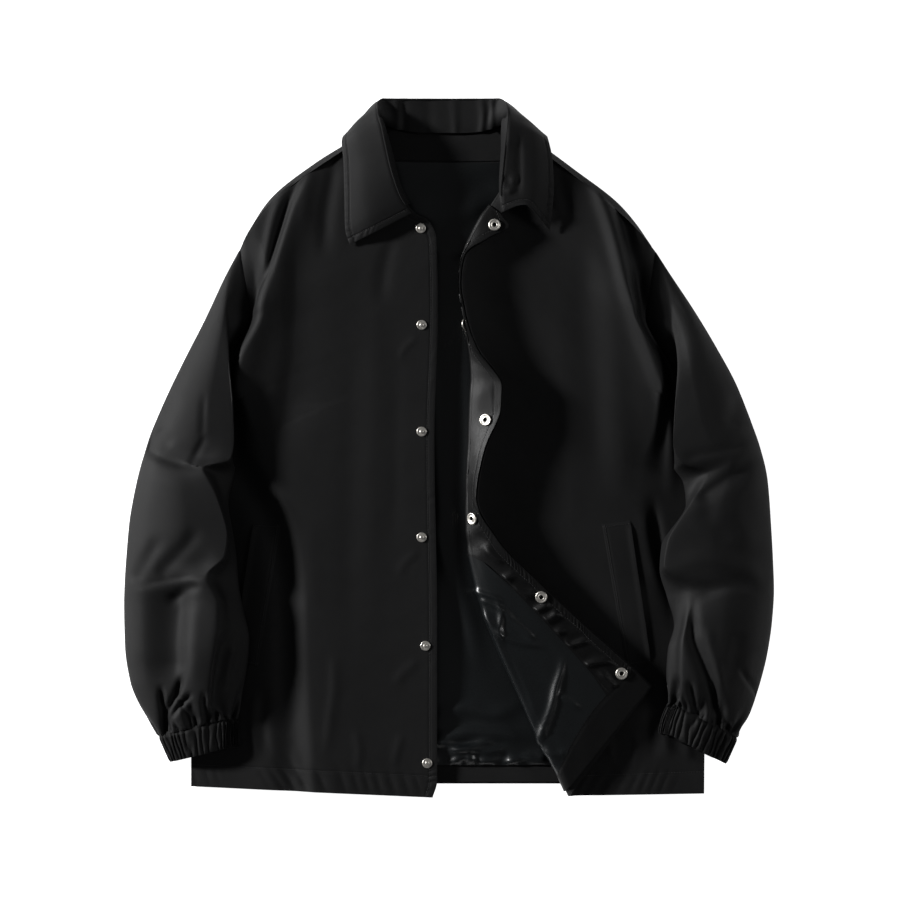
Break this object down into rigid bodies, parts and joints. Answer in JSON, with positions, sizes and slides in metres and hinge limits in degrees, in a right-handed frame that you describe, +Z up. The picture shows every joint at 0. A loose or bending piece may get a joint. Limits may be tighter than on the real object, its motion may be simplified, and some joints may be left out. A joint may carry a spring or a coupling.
{
  "type": "coach jacket",
  "caption": "Black nylon coach jacket laid flat, front up, with a turned-down collar, snap front, slanted welt pockets and gathered cuffs; one front is folded back to show the satin lining.",
  "frame": {"origin": "on the surface the jacket lies on, under the middle of its outline", "axes": "+Z up from the surface, +Y from hem to collar, +X to the wearer's left"},
  "size_m": [0.714, 0.768, 0.0489],
  "materials": {
    "shell": "matt woven nylon",
    "lining": "glossy satin",
    "cuff": "ribbed, gathered on elastic",
    "snap": "polished nickel"
  },
  "bodies": {
    "root": {"front_right": "shell", "front_left": "shell", "back_panel": "shell", "sleeve_right": "shell", "sleeve_left": "shell", "collar_leaf": "shell", "collar_stand": "shell", "pocket_welt_right": "shell", "pocket_welt_left": "shell", "front_left_facing": "shell", "front_left_hem": "shell", "back_hem": "shell", "back_neck_facing": "shell", "back_lining": "lining", "front_left_lining": "lining", "cuff_right": "cuff", "cuff_left": "cuff", "snap_stud_1": "snap", "snap_stud_2": "snap", "snap_stud_3": "snap", "snap_stud_4": "snap", "snap_stud_5": "snap", "snap_stud_6": "snap", "snap_socket_1": "snap", "snap_socket_2": "snap", "snap_socket_3": "snap", "snap_socket_4": "snap", "snap_socket_5": "snap", "snap_socket_6": "snap"}
  },
  "joints": []
}
